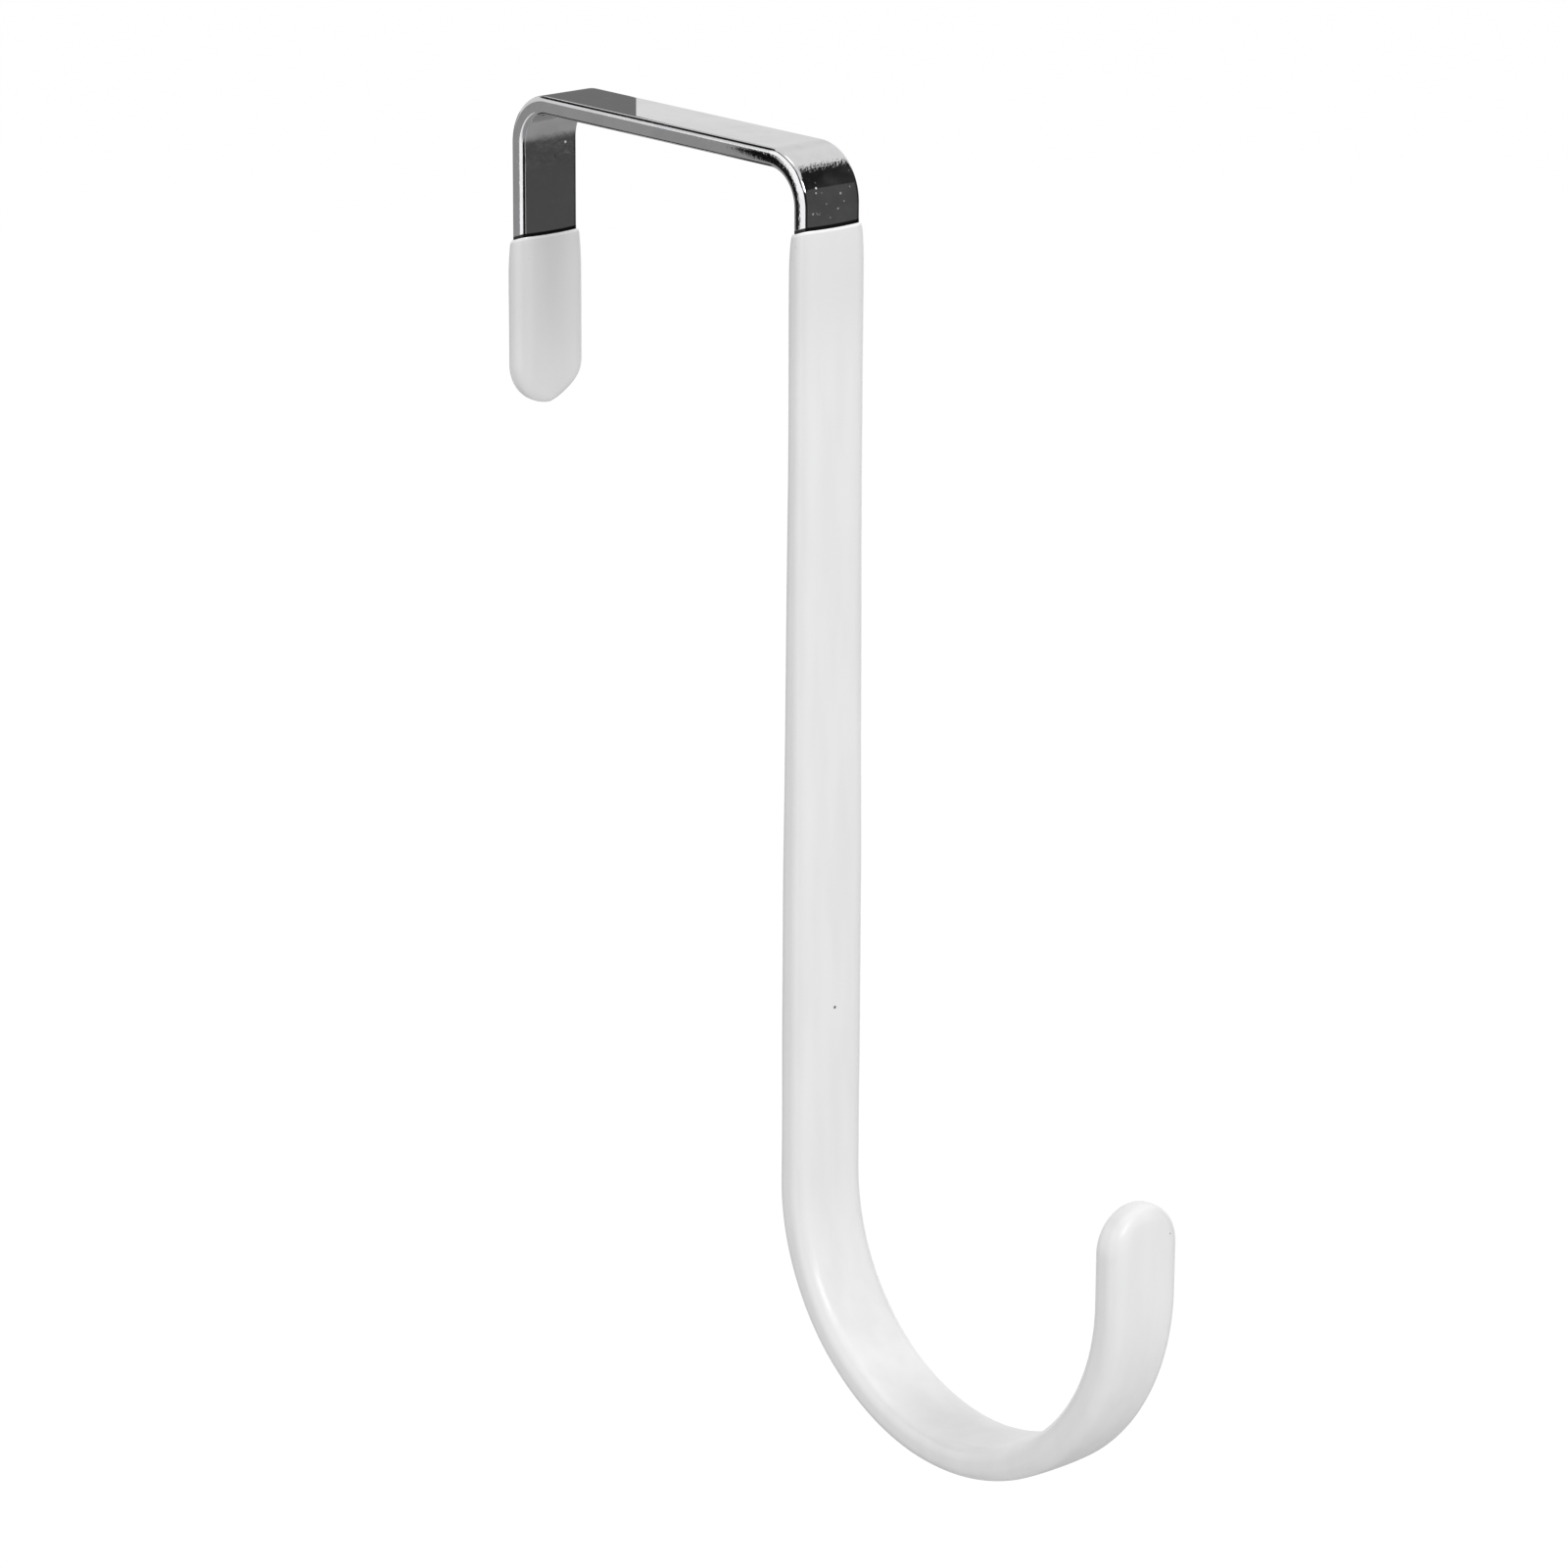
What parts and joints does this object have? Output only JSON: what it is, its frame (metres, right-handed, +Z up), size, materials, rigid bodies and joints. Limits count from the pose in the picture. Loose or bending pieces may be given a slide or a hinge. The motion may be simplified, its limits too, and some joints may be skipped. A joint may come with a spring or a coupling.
{
  "type": "over door hook",
  "caption": "Over-door hook: a flat steel strip bent square over a door's top edge, with a round hook at the front; both hanging ends are coated in white vinyl.",
  "frame": {"origin": "middle of the bridge's underside, where the hook sits on the door's top edge", "axes": "+X out of the door's front face towards the hook, +Y along the strip's width, +Z up"},
  "size_m": [0.104, 0.0102, 0.1465],
  "materials": {
    "plated_steel": "bright plated",
    "white_vinyl": "soft satin"
  },
  "bodies": {
    "root": {"steel_strip": "plated_steel", "back_leg_coating": "white_vinyl", "hook_coating": "white_vinyl"}
  },
  "joints": []
}
